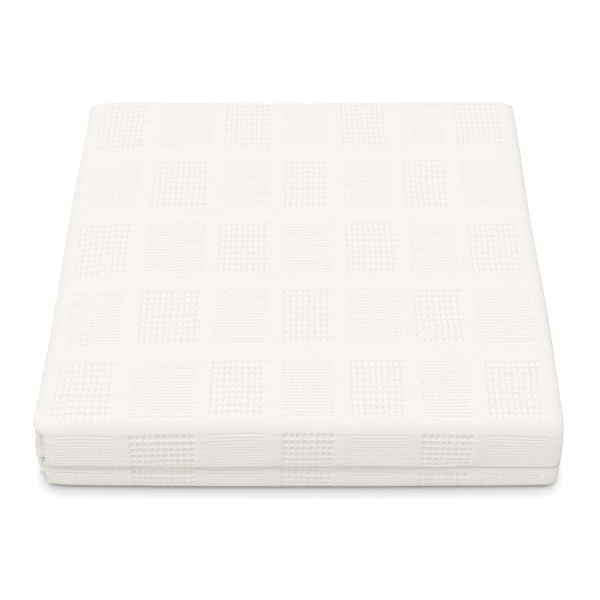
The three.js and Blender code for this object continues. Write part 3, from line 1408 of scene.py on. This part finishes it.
@dataclass(frozen=True)
class WaffleRelief:
    """The relief of the woven blocks, sunk into the cloth by a geometry tree. Metres."""

    name: str = "waffle_relief"
    cell_depth: float = 0.00043  # of a waffle pit
    dot_depth: float = 0.0003  # of a dotted block's small pits
    least_share: float = 0.75  # of that depth, in the shallowest cell
    most_share: float = 1.15  # the same in the deepest one
    seed: int = 7

    def tree(self) -> tuple[bpy.types.NodeTree, dict[str, str]]:
        """Makes the geometry tree.

        Returns:
            The tree, and the identifiers of its inputs by name.
        """
        tree = bpy.data.node_groups.new(self.name, "GeometryNodeTree")
        tree.is_modifier = True
        kinds = {
            "Cloth": "NodeSocketGeometry",
            "Cell depth": "NodeSocketFloat",
            "Dot depth": "NodeSocketFloat",
            "Least share": "NodeSocketFloat",
            "Most share": "NodeSocketFloat",
            "Seed": "NodeSocketInt",
            "Material": "NodeSocketMaterial",
        }
        made = {
            name: tree.interface.new_socket(name, in_out="INPUT", socket_type=kind)
            for name, kind in kinds.items()
        }
        tree.interface.new_socket("Cloth", in_out="OUTPUT", socket_type="NodeSocketGeometry")
        graph = NodeGraph(tree)
        given = graph.node("NodeGroupInput", {}, {}).outputs
        inputs = {name: Value(graph, given[name]) for name in kinds}
        depth = self.depth(graph, inputs)
        normal = graph.add("GeometryNodeInputNormal", {}, {})
        inward = {0: normal, "Scale": depth * -1.0}
        offset = graph.add("ShaderNodeVectorMath", {"operation": "SCALE"}, inward)
        sunk = graph.add("GeometryNodeSetPosition", {}, {"Geometry": inputs["Cloth"], "Offset": offset})
        whole = graph.add("GeometryNodeRealizeInstances", {}, {"Geometry": sunk})
        finish = {"Geometry": whole, "Material": inputs["Material"]}
        dressed = graph.add("GeometryNodeSetMaterial", {}, finish)
        output = graph.node("NodeGroupOutput", {}, {})
        tree.links.new(dressed.socket, output.inputs[0])
        return tree, {name: socket.identifier for name, socket in made.items()}

    def depth(self, graph: NodeGraph, inputs: dict[str, Value]) -> Value:
        """How deep each point of the cloth is sunk.

        Args:
            graph: The tree's graph.
            inputs: The tree's inputs by name.

        Returns:
            The depth, as a field.
        """
        def named(name: str, kind: str = "FLOAT") -> Value:
            """A named attribute of the cloth."""
            settings = {"data_type": kind}
            return graph.add("GeometryNodeInputNamedAttribute", settings, {"Name": name}, "Attribute")

        uneven = graph.add(
            "FunctionNodeRandomValue",
            {"data_type": "FLOAT"},
            {
                2: inputs["Least share"],
                3: inputs["Most share"],
                "ID": named("cell_number", "INT"),
                "Seed": inputs["Seed"],
            },
            1,
        )
        across, along = named("cell_across"), named("cell_along")
        waffle = WeaveForm.pit(across, along) * named("waffle") * inputs["Cell depth"]
        dotted = WeaveForm.dot(across, along) * named("dotted") * inputs["Dot depth"]
        return (waffle + dotted) * named("row_depth") * uneven

    def apply(self, cloth: bpy.types.Object, material: bpy.types.Material) -> None:
        """Sinks the relief into a cloth and leaves a plain mesh.

        Args:
            cloth: The object, whose mesh carries the chart as attributes.
            material: The finish that the tree sets.
        """
        tree, identifiers = self.tree()
        modifier = cloth.modifiers.new(self.name, "NODES")
        modifier.node_group = tree
        values = {
            "Cell depth": self.cell_depth,
            "Dot depth": self.dot_depth,
            "Least share": self.least_share,
            "Most share": self.most_share,
            "Seed": self.seed,
            "Material": material,
        }
        for name, value in values.items():
            modifier[identifiers[name]] = value
        graph = bpy.context.evaluated_depsgraph_get()
        mesh = bpy.data.meshes.new_from_object(
            cloth.evaluated_get(graph), preserve_all_data_layers=True, depsgraph=graph
        )
        old = cloth.data
        cloth.modifiers.remove(modifier)
        cloth.data = mesh
        bpy.data.meshes.remove(old)


@dataclass
class Bedspread:
    """The bedspread: one sheet of cloth, folded, with its relief and finish.

    The drifts let its threads wander. The skews shift its columns of blocks, the tilts turn its rows,
    and the weft bow, with a place across and a shift along in each pair, bends them. The marks are the
    soft forms of the lying cloth. Millimetres, but for the flat size, which is in metres.
    """

    name: str = "bedspread_cloth"
    strip: FoldedStrip = FoldedStrip()
    chart: WeaveChart = WeaveChart()
    relief: WaffleRelief = WaffleRelief()
    finish: CottonFinish = CottonFinish()
    flat: tuple[float, float] = (1.5, 2.25)
    drifts_across: tuple[Drift, ...] = (
        Drift(height=0.35, across_length=310, along_length=140, phase=0.3),
        Drift(height=0.2, across_length=-120, along_length=67, phase=1.9),
    )
    drifts_along: tuple[Drift, ...] = (
        Drift(height=0.5, across_length=170, along_length=420, phase=1.1),
        Drift(height=0.25, across_length=61, along_length=-230, phase=2.7),
    )
    skews: tuple[Skew, ...] = (
        Skew("upper back", beyond=0, shift=0.35, left_extra=0),
        Skew("top", beyond=0, shift=0.7, left_extra=0),
        Skew("upper front", beyond=-20, shift=0.4, left_extra=1.7),
        Skew("upper front", beyond=20, shift=-0.1, left_extra=0.7),
        Skew("lower front", beyond=0, shift=-1.0, left_extra=1.2),
    )
    tilts: tuple[Tilt, ...] = (
        Tilt("top", beyond=150, shift=0),
        Tilt("upper front", beyond=-18, shift=2.0),
        Tilt("upper front", beyond=20, shift=0.3),
        Tilt("lower front", beyond=-14, shift=5.0),
        Tilt("lower front", beyond=14, shift=4.0),
        Tilt("lower front", beyond=30, shift=0),
    )
    weft_bow: tuple[tuple[float, float], ...] = (
        (-191.0, 3.6),
        (-157.0, 3.0),
        (-100.0, 1.5),
        (-45.0, 0.0),
        (6.0, -0.4),
        (57.0, -1.3),
        (107.0, -1.0),
        (157.0, 0.0),
        (191.0, 0.3),
    )
    marks: tuple[SoftMark, ...] = (
        # The rolled left ends of the two front folds, with the layers pinched under them
        SoftMark(start=(-193, -184, 18), end=(-193, -184, 44), reach=7, shift=(-2.4, -1, 0)),
        SoftMark(start=(-192, -187, 36.5), end=(-184, -187, 36.5), reach=4, shift=(0, 0, -4.5)),
        SoftMark(start=(-192, -184, 24), end=(-192, -184, 30), reach=6, shift=(-0.8, 0, 0)),
        SoftMark(start=(-189, -186, 6), end=(-189, -186, 11), reach=5, shift=(-2.4, -0.8, 0)),
        SoftMark(start=(-193, -184, 14), end=(-183, -188, 14), reach=4.5, squeeze=0.6),
        SoftMark(start=(-192, -185, 7.5), end=(-183, -188, 7.5), reach=4.5, squeeze=0.6),
        # The right ends of the two front folds
        SoftMark(start=(188, -189, 24), end=(188, -189, 34), reach=7, shift=(1.2, 0, 0)),
        SoftMark(start=(189, -188, 20), end=(189, -188, 26), reach=5, shift=(1.3, 0, 0)),
        # The soft valley at the right end of the crease between them
        SoftMark(start=(110, -193, 31), end=(200, -193, 31), reach=6.5, shift=(0, 1.2, 0)),
        SoftMark(start=(128, -193, 31), end=(200, -193, 31), reach=6.5, shift=(0, 1.2, 0)),
        SoftMark(start=(110, -179, 25.5), end=(200, -179, 25.5), reach=6.5, shift=(0, -3, 0)),
        SoftMark(start=(126, -179, 25.5), end=(200, -179, 25.5), reach=6.5, shift=(0, -3, 0)),
        SoftMark(start=(118, -190, 26), end=(200, -190, 26), reach=3.5, shift=(0, 2.4, 0)),
        SoftMark(start=(118, -182, 22.5), end=(200, -182, 22.5), reach=4, shift=(0, -3, 0)),
        SoftMark(start=(100, -187, 23.4), end=(200, -187, 22.2), reach=4.5, squeeze=0.5),
        SoftMark(start=(124, -187, 23.0), end=(200, -187, 22.2), reach=4.5, squeeze=0.55),
        # The soft roll along the left edge of the top
        SoftMark(start=(-194, -166, 71), end=(-194, 180, 71), reach=8, shift=(-0.4, 0, -5)),
        # Gathers of the upper fold's left end
        SoftMark(start=(-196, -186, 62), end=(-186, -187, 61), reach=1.5, shift=(-0.4, -0.5, 0)),
        SoftMark(start=(-196, -186, 57), end=(-186, -187, 58), reach=1.5, shift=(-0.4, -0.5, 0)),
        SoftMark(start=(-196, -186, 53.5), end=(-186, -187, 52), reach=1.5, shift=(-0.5, -0.5, 0)),
        SoftMark(start=(-196, -186, 48), end=(-186, -187, 48), reach=1.8, shift=(-0.5, -0.6, 0)),
        SoftMark(start=(-196, -186, 43), end=(-186, -187, 41), reach=1.6, shift=(-0.4, -0.5, 0)),
    )
    end_taper: float = 1.2  # length over which the cloth thins to a rounded hem at its two ends
    end_least: float = 0.12  # square of the share of its thickness that is left there
    edge_margin: float = 12.0  # from the side folds, over which the threads' wandering fades

    def dense_zones(self) -> dict[tuple[int, str], tuple[Density, Density]]:
        """How close the mesh lines lie in the zones that show.

        Returns:
            The densities across and along, by zone and stretch.
        """
        fine = (Density.FINE, Density.FINE)
        dense = {}
        for stretch in self.chart.stretches:
            dense[Zone.OUTER_LEFT_FOLD, stretch.name] = (Density.CELL, Density.CELL)
            dense[Zone.INNER_LEFT_FOLD, stretch.name] = (Density.CELL, Density.CELL)
            dense[Zone.RIGHT_FOLD, stretch.name] = (Density.HALF_CELL, Density.CELL)
        for name in ("face", "lower front"):
            dense[Zone.OUTER_LEFT_FOLD, name] = (Density.FINE, Density.HALF_CELL)
            dense[Zone.OUTER_FACE, name] = fine
            dense[Zone.RIGHT_FOLD, name] = (Density.FINE, Density.HALF_CELL)
            dense[Zone.INNER_LEFT_FOLD, name] = (Density.CELL, Density.HALF_CELL)
            dense[Zone.INNER_HEM, name] = (Density.CELL, Density.HALF_CELL)
        dense[Zone.INNER_FACE, "lower back"] = (Density.HALF_CELL, Density.HALF_CELL)
        dense[Zone.INNER_LEFT_FOLD, "lower back"] = (Density.CELL, Density.HALF_CELL)
        return dense

    def build(self) -> bpy.types.Object:
        """Returns:
            The finished object.
        """
        route = self.strip.route()
        columns, rows = self.chart.across(self.strip), self.chart.along(route)
        grid = ClothGrid(columns, rows, self.chart, self.dense_zones())
        mesh = grid.mesh(self.name, self.points(grid, route))
        grid.add_chart(mesh)
        grid.add_cloth_place(mesh, self.strip)
        cloth = bpy.data.objects.new(self.name, mesh)
        bpy.context.scene.collection.objects.link(cloth)
        self.relief.apply(cloth, self.finish.material())
        cloth.data.shade_smooth()
        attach(cloth, "root")
        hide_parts("bedspread")
        return cloth

    def wander(
        self, route: Route, across: np.ndarray, length: np.ndarray
    ) -> tuple[np.ndarray, np.ndarray]:
        """How far the threads lie from where an even weave has them.

        Args:
            route: The strip's route.
            across: Places across the strip's section.
            length: Lengths along the route.

        Returns:
            The shifts across and along.
        """
        half_width = self.strip.half_width
        places = route.lengths(self.skews)
        leftward = np.clip(-across / half_width, 0, 1)
        sideways = np.interp(length, places, [skew.shift for skew in self.skews])
        sideways += leftward * np.interp(length, places, [skew.left_extra for skew in self.skews])
        sideways += sum(drift.at(across, length) for drift in self.drifts_across)
        tilt = np.interp(length, route.lengths(self.tilts), [tilt.shift for tilt in self.tilts])
        ahead = np.interp(across, *np.array(self.weft_bow).T)
        ahead += tilt * across / half_width
        ahead += sum(drift.at(across, length) for drift in self.drifts_along)
        return sideways, ahead

    def points(self, grid: "ClothGrid", route: Route) -> np.ndarray:
        """Where the points of the cloth lie, in metres, standing on the frame's own box.

        Args:
            grid: The mesh lines.
            route: The strip's route.

        Returns:
            One point a row.
        """
        section = Section.of(self.strip, grid.columns)
        column, row = grid.line_numbers()
        line = grid.cloth_line(column)
        length = np.array(grid.rows.place)[row]
        from_end = np.minimum(length, route.anchors["end"] - length)
        rounding = 1 - (1 - np.clip(from_end / self.end_taper, 0, 1)) ** 2
        taper = np.sqrt(np.clip(rounding, self.end_least, 1))
        reach = grid.side(column) * taper * self.strip.thickness / 2
        across = section.across[line] + reach * section.normal_across[line]
        height = section.height[line] + reach * section.normal_height[line]
        inside = np.clip((self.strip.half_width - np.abs(across)) / self.edge_margin, 0, 1)
        sideways, ahead = self.wander(route, section.across[line], length)
        points = self.strip.place(route, across + sideways * inside, height, length + ahead * inside)
        low, high = (np.array(corner) / MILLIMETRE for corner in cad_box)
        to_frame = (low + high) / 2 - (points.min(axis=0) + points.max(axis=0)) / 2
        to_frame[2] = low[2] - points[:, 2].min()
        points = points + to_frame
        for mark in self.marks:
            points = mark.moved(points)
        return points * MILLIMETRE


@dataclass
class ClothGrid:
    """The closed mesh of the cloth: its face and its back, over mesh lines across and along it.

    Zones that show have close lines and hidden ones few, and a cell beside closer lines takes in
    their points, so the mesh has no gaps.
    """

    columns: Lines
    rows: Lines
    chart: WeaveChart
    dense: dict[tuple[int, str], tuple[Density, Density]]

    def __post_init__(self) -> None:
        """Numbers the lines of the back, and the points that the patches use."""
        sparse = np.flatnonzero(np.array(self.columns.density) == Density.HIDDEN)
        self.face_count = len(self.columns)
        self.back = sparse[::-1]
        self.ring = self.face_count + len(self.back)
        self.patches = self.face_patches() + [self.back_patch()]
        used = np.zeros((self.ring + 1, len(self.rows)), bool)
        for across, along in self.patches:
            used[np.ix_(across, along)] = True
        used[0] |= used[self.ring]
        used[self.ring] = False
        self.numbers = np.full(used.shape, -1)
        self.numbers[used] = np.arange(used.sum())
        self.numbers[self.ring] = self.numbers[0]
        self.used = self.numbers >= 0

    def face_patches(self) -> list[tuple[np.ndarray, np.ndarray]]:
        """The patches of the cloth's face.

        Returns:
            The numbers of each patch's lines, across and along.
        """
        patches = []
        for zone in Zone:
            for number, stretch in enumerate(self.chart.stretches):
                across, along = self.dense.get((zone, stretch.name), (Density.HIDDEN, Density.HIDDEN))
                patches.append((self.columns.pick(zone, across), self.rows.pick(number, along)))
        return patches

    def back_patch(self) -> tuple[np.ndarray, np.ndarray]:
        """The patch of the cloth's back, with the two side hems' edges."""
        along = np.flatnonzero(np.array(self.rows.density) == Density.HIDDEN)
        return np.arange(self.face_count - 1, self.ring + 1), along

    def line_numbers(self) -> tuple[np.ndarray, np.ndarray]:
        """The ring line and the row line of each point, in the points' order."""
        column, row = np.nonzero(self.used[: self.ring])
        return column, row

    def side(self, column: np.ndarray) -> np.ndarray:
        """1 for lines on the cloth's face and -1 for lines on its back."""
        return np.where(column < self.face_count, 1, -1)

    def cloth_line(self, column: np.ndarray) -> np.ndarray:
        """The line across the cloth that each ring line lies on."""
        return np.concatenate([np.arange(self.face_count), self.back])[column]

    def outline(self, low: int, high: int, first: int, last: int) -> tuple[np.ndarray, np.ndarray]:
        """The points round one mesh cell, with those of closer lines beside it.

        Args:
            low: Its first ring line.
            high: Its other ring line.
            first: Its first row line.
            last: Its other row line.

        Returns:
            The ring lines and the row lines of its points, in order.
        """
        left = first + np.flatnonzero(self.used[low, first:last])
        top = low + np.flatnonzero(self.used[low:high, last])
        right = first + 1 + np.flatnonzero(self.used[high, first + 1 : last + 1])[::-1]
        bottom = low + 1 + np.flatnonzero(self.used[low + 1 : high + 1, first])[::-1]
        across = [np.full(len(left), low), top, np.full(len(right), high), bottom]
        along = [left, np.full(len(top), last), right, np.full(len(bottom), first)]
        return np.concatenate(across), np.concatenate(along)

    def cells(self) -> list[tuple[np.ndarray, np.ndarray]]:
        """The outlines of all mesh cells, without the cloth's two ends.

        Returns:
            The ring lines and the row lines of each outline's points.
        """
        made = []
        for across, along in self.patches:
            for low, high in zip(across[:-1], across[1:]):
                for first, last in zip(along[:-1], along[1:]):
                    if high - low == 1 and last - first == 1:
                        made.append(((low, low, high, high), (first, last, last, first)))
                    else:
                        made.append(self.outline(low, high, first, last))
        return made

    def end_cells(self) -> list[tuple[np.ndarray, np.ndarray]]:
        """The cells that close the cloth's two ends, between its face and its back.

        Returns:
            The ring lines and the row lines of each cell's points.
        """
        made = []
        sparse = self.back[::-1]
        for row in (0, len(self.rows) - 1):
            for low, high in zip(sparse[:-1], sparse[1:]):
                face = low + np.flatnonzero(self.used[low : high + 1, row])
                mates = [self.ring - 1 - int(np.searchsorted(sparse, line)) for line in (high, low)]
                across = np.concatenate([face, mates])
                made.append((across if row == 0 else across[::-1], np.full(len(across), row)))
        return made

    def mesh(self, name: str, points: np.ndarray) -> bpy.types.Mesh:
        """The cloth as a mesh, with a map that gives most room to what shows.

        Args:
            name: The mesh's name.
            points: Where its points lie, in metres.

        Returns:
            The mesh.
        """
        cells, ends = self.cells(), self.end_cells()
        faces = [self.numbers[across, along].tolist() for across, along in cells + ends]
        mesh = bpy.data.meshes.new(name)
        mesh.from_pydata(points.tolist(), [], faces)
        u, v = self.map_places()
        across = np.concatenate([cell[0] for cell in cells])
        along = np.concatenate([cell[1] for cell in cells])
        places = [np.stack([u[across], v[along]], axis=1)]
        for line, row in ends:
            low = row[0] == 0
            on_back = line >= self.face_count
            beside = np.where(on_back, self.cloth_line(line), line)
            edge, rim = (v[0], 0.0) if low else (v[-1], 1.0)
            places.append(np.stack([u[beside], np.where(on_back, rim, edge)], axis=1))
        layer = mesh.uv_layers.new(name="OFBake")
        layer.data.foreach_set("uv", np.concatenate(places).astype(np.float32).ravel())
        return mesh

    def map_places(self) -> tuple[np.ndarray, np.ndarray]:
        """Where the lines lie on the map, from 0 to 1.

        Returns:
            The places of the ring lines and of the row lines.
        """
        zones = np.array(self.columns.zone)
        shares = {
            Zone.OUTER_HEM: 0.03,
            Zone.OUTER_LEFT_FOLD: 0.03,
            Zone.OUTER_FACE: 0.62,
            Zone.RIGHT_FOLD: 0.06,
            Zone.INNER_FACE: 0.12,
            Zone.INNER_LEFT_FOLD: 0.03,
            Zone.INNER_HEM: 0.03,
        }
        steps = np.zeros(self.ring)
        for zone, share in shares.items():
            members = np.flatnonzero(zones == zone)
            steps[members] = share / len(members)
        steps[self.face_count - 1 :] = (1 - sum(shares.values())) / (len(self.back) + 1)
        u = np.concatenate([[0], np.cumsum(steps)])
        stretch = np.array(self.rows.zone)[:-1]
        end_strip = 0.01
        visible = {"face": 0.68, "lower front": 0.08, "lower back": 0.06}
        others = len(self.chart.stretches) - len(visible)
        rest = (1 - 2 * end_strip - sum(visible.values())) / others
        gaps = np.diff(self.rows.place)
        for number, part in enumerate(self.chart.stretches):
            members = stretch == number
            gaps[members] *= visible.get(part.name, rest) / gaps[members].sum()
        v = end_strip + np.concatenate([[0], np.cumsum(gaps)])
        return u / u[-1], v

    def add_chart(self, mesh: bpy.types.Mesh) -> None:
        """Writes the woven chart to a mesh: the weave, and places in waffle cells.

        Args:
            mesh: The cloth's mesh.
        """
        column, row = self.line_numbers()
        line = self.cloth_line(column)
        on_face = column < self.face_count
        row_depth = np.array(self.rows.woven)[row]
        in_row = on_face & (row_depth > 0)
        woven = in_row & (np.array(self.columns.woven)[line] > 0)
        block = np.array(self.columns.block)[line]
        band = np.array(self.rows.block)[row]
        weave = (block + band) % len(Weave)
        across = np.array(self.columns.cell)[line]
        along = np.array(self.rows.cell)[row]
        most_rows, most_cells = 61, 32  # more than the chart has rows, and a block has cells
        block_number = block * most_rows + band
        number = (block_number * most_cells + across.astype(int)) * most_cells + along.astype(int)
        self.write(mesh, "waffle", "FLOAT", woven & (weave == Weave.WAFFLE))
        self.write(mesh, "dotted", "FLOAT", woven & (weave == Weave.DOTTED))
        self.write(mesh, "in_row", "FLOAT", in_row)
        self.write(mesh, "row_depth", "FLOAT", row_depth)
        self.write(mesh, "cell_across", "FLOAT", across)
        self.write(mesh, "cell_along", "FLOAT", along)
        self.write(mesh, "cell_number", "INT", number)

    def add_cloth_place(self, mesh: bpy.types.Mesh, strip: FoldedStrip) -> None:
        """Writes where each point lies in the flat cloth, in millimetres.

        Args:
            mesh: The cloth's mesh.
            strip: The folded strip.
        """
        section = Section.of(strip, self.columns)
        steps = np.hypot(np.diff(section.across), np.diff(section.height))
        travelled = np.concatenate([[0], np.cumsum(steps)])
        column, row = self.line_numbers()
        across, along = travelled[self.cloth_line(column)], np.array(self.rows.place)[row]
        places = np.stack([across, along, self.side(column)], axis=1)
        made = mesh.attributes.new("cloth_place", "FLOAT_VECTOR", "POINT")
        made.data.foreach_set("vector", places.astype(np.float32).ravel())

    @staticmethod
    def write(mesh: bpy.types.Mesh, name: str, kind: str, values: np.ndarray) -> None:
        """Writes one value a point to a mesh."""
        made = mesh.attributes.new(name, kind, "POINT")
        made.data.foreach_set("value", values.astype(np.int32 if kind == "INT" else np.float32))


@dataclass(frozen=True)
class SoftLight:
    """A large round lamp that points at the middle of the pad. Metres and watts."""

    name: str
    place: tuple[float, float, float]
    size: float
    power: float

    def build(self) -> None:
        """Makes the lamp."""
        light = bpy.data.lights.new(self.name, "AREA")
        light.shape = "DISK"
        light.size = self.size
        light.energy = self.power
        lamp = bpy.data.objects.new(self.name, light)
        lamp.location = self.place
        lamp.rotation_euler = (-Vector(self.place)).to_track_quat("-Z", "Y").to_euler()
        bpy.context.scene.collection.objects.link(lamp)


@dataclass(frozen=True)
class WhiteFloorFinish:
    """The clean white floor that is seen, glowing evenly, with a narrow soft shadow painted into its glow
    where the cloth rests on it.
    """

    name: str = "white_floor"
    brightness: float = 1.1
    shade_reach: float = 0.0155  # metres from the cloth to where the painted soft shadow ends
    shade_power: float = 0.6  # how dark it is
    contact_reach: float = 0.003  # the same of the painted close shadow under the cloth's edge
    contact_power: float = 0.48
    shade_samples: int = 32

    def material(self) -> bpy.types.Material:
        """The white floor as a material.

        Returns:
            The material.
        """
        material, graph = NodeGraph.of_material(self.name)
        settings = {"samples": self.shade_samples}
        wide, close = (
            graph.add("ShaderNodeAmbientOcclusion", settings, {"Distance": reach}, "AO")
            for reach in (self.shade_reach, self.contact_reach)
        )
        # painted shadow: the floor's glow is dimmed where the cloth closes it in
        open_share = wide**self.shade_power * close**self.contact_power
        surface = graph.node(
            "ShaderNodeBsdfPrincipled",
            {},
            {
                "Base Color": (0.0, 0.0, 0.0, 1.0),
                "Specular IOR Level": 0.0,
                "Emission Color": open_share,
                "Emission Strength": self.brightness,
            },
        )
        graph.show(surface)
        return material


@dataclass(frozen=True)
class TableFinish:
    """The matt grey table just under the white floor, which sends soft light back to the cloth."""

    name: str = "grey_table"
    colour: tuple[float, float, float, float] = (0.77, 0.75, 0.73, 1.0)

    def material(self) -> bpy.types.Material:
        """The table as a material.

        Returns:
            The material.
        """
        material, graph = NodeGraph.of_material(self.name)
        graph.show(graph.node("ShaderNodeBsdfDiffuse", {}, {"Color": self.colour}))
        return material


@dataclass
class Studio:
    """A plain pale floor, soft light and the camera. Metres and degrees.

    The floor that is seen is a clean white, and the grey table just under it is what lights the cloth
    from below.
    """

    floor_size: float = 40.0
    floor: WhiteFloorFinish = WhiteFloorFinish()
    table: TableFinish = TableFinish()
    table_drop: float = 0.0002
    sky_strength: float = 0.80
    lamps: tuple[SoftLight, ...] = (
        SoftLight("overhead", place=(-0.6, 0.9, 6.0), size=3.6, power=105.0),
        SoftLight("fill", place=(-1.2, -6.0, 1.7), size=3.0, power=46.0),
    )
    camera_place: tuple[float, float, float] = (0.0, -0.82427, 0.83634)
    camera_pitch: float = 45.10  # below the level
    camera_lens: float = 83.67  # millimetres, as the sensor is
    camera_sensor: float = 36.0

    def build(self) -> None:
        """Makes the floor, the light and the camera."""
        seen = self.make_floor(self.floor, 0.0)
        seen.visible_diffuse = False
        seen.visible_glossy = False
        seen.visible_shadow = False
        table = self.make_floor(self.table, -self.table_drop)
        table.visible_camera = False
        self.make_sky()
        for lamp in self.lamps:
            lamp.build()
        self.make_camera()
        bpy.context.scene.view_settings.view_transform = "Standard"

    def make_floor(self, finish: WhiteFloorFinish | TableFinish, height: float) -> bpy.types.Object:
        """Makes one floor.

        Args:
            finish: Its finish, which also names it.
            height: Its height.

        Returns:
            The floor.
        """
        half = self.floor_size / 2
        mesh = bpy.data.meshes.new(finish.name)
        corners = [(x * half, y * half, height) for x, y in ((-1, -1), (1, -1), (1, 1), (-1, 1))]
        mesh.from_pydata(corners, [], [(0, 1, 2, 3)])
        mesh.materials.append(finish.material())
        floor = bpy.data.objects.new(finish.name, mesh)
        bpy.context.scene.collection.objects.link(floor)
        return floor

    def make_sky(self) -> None:
        """Makes an even light from all round."""
        world = bpy.data.worlds.new("studio")
        world.use_nodes = True
        sky = world.node_tree.nodes["Background"]
        sky.inputs["Color"].default_value = (1, 1, 1, 1)
        sky.inputs["Strength"].default_value = self.sky_strength
        bpy.context.scene.world = world

    def make_camera(self) -> None:
        """Makes the camera at the photograph's viewing angle."""
        data = bpy.data.cameras.new("camera")
        data.lens = self.camera_lens
        data.sensor_width = self.camera_sensor
        camera = bpy.data.objects.new("camera", data)
        camera.location = self.camera_place
        camera.rotation_euler = Euler((math.radians(90 - self.camera_pitch), 0, 0))
        bpy.context.scene.collection.objects.link(camera)
        bpy.context.scene.camera = camera


def main() -> None:
    """Builds the studio and the bedspread, and reports each piece."""
    logging.basicConfig(level=logging.INFO, format="%(name)s: %(message)s")
    Studio().build()
    cloth = Bedspread().build()
    cloth.data.calc_loop_triangles()
    points, triangles = len(cloth.data.vertices), len(cloth.data.loop_triangles)
    log.info("%s: %d points, %d triangles", cloth.name, points, triangles)


if __name__ == "__main__":
    main()
